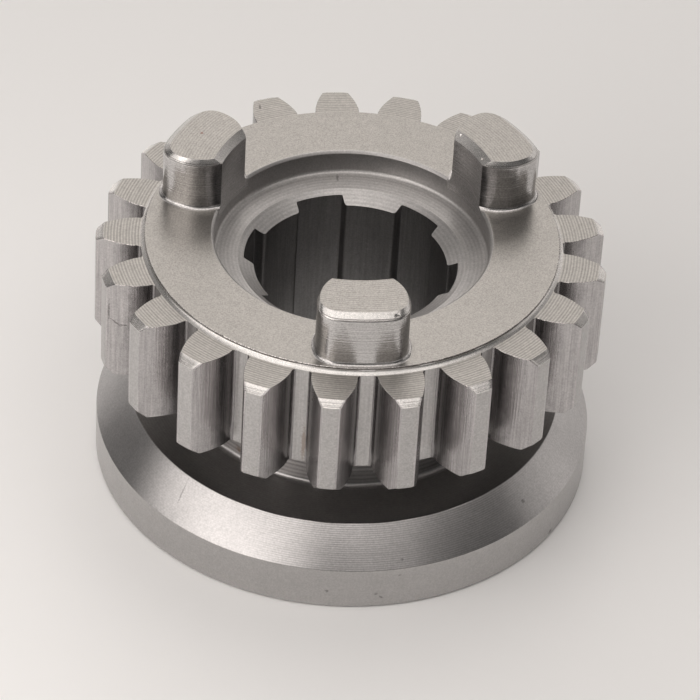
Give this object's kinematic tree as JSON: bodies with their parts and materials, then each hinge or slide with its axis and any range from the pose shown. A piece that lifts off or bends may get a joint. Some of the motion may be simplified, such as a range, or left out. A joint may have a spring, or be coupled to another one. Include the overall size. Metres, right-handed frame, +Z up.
{
  "type": "sliding transmission gear",
  "caption": "Spur gear with a splined bore, a flanged shift-fork groove below the teeth and round dogs on its upper face, for engaging a neighbouring gear on the same shaft.",
  "frame": {"origin": "on the bore axis, at the underside of the flange the gear stands on", "axes": "+Z up along the bore axis towards the dogs; -Y points through the middle of the first dog; +X to the right when that dog is nearest"},
  "size_m": [0.0526, 0.0525, 0.034],
  "materials": {
    "steel": "fine turned and hobbed machining marks, slightly warm grey"
  },
  "bodies": {
    "root": {"sliding_gear": "steel"}
  },
  "joints": []
}
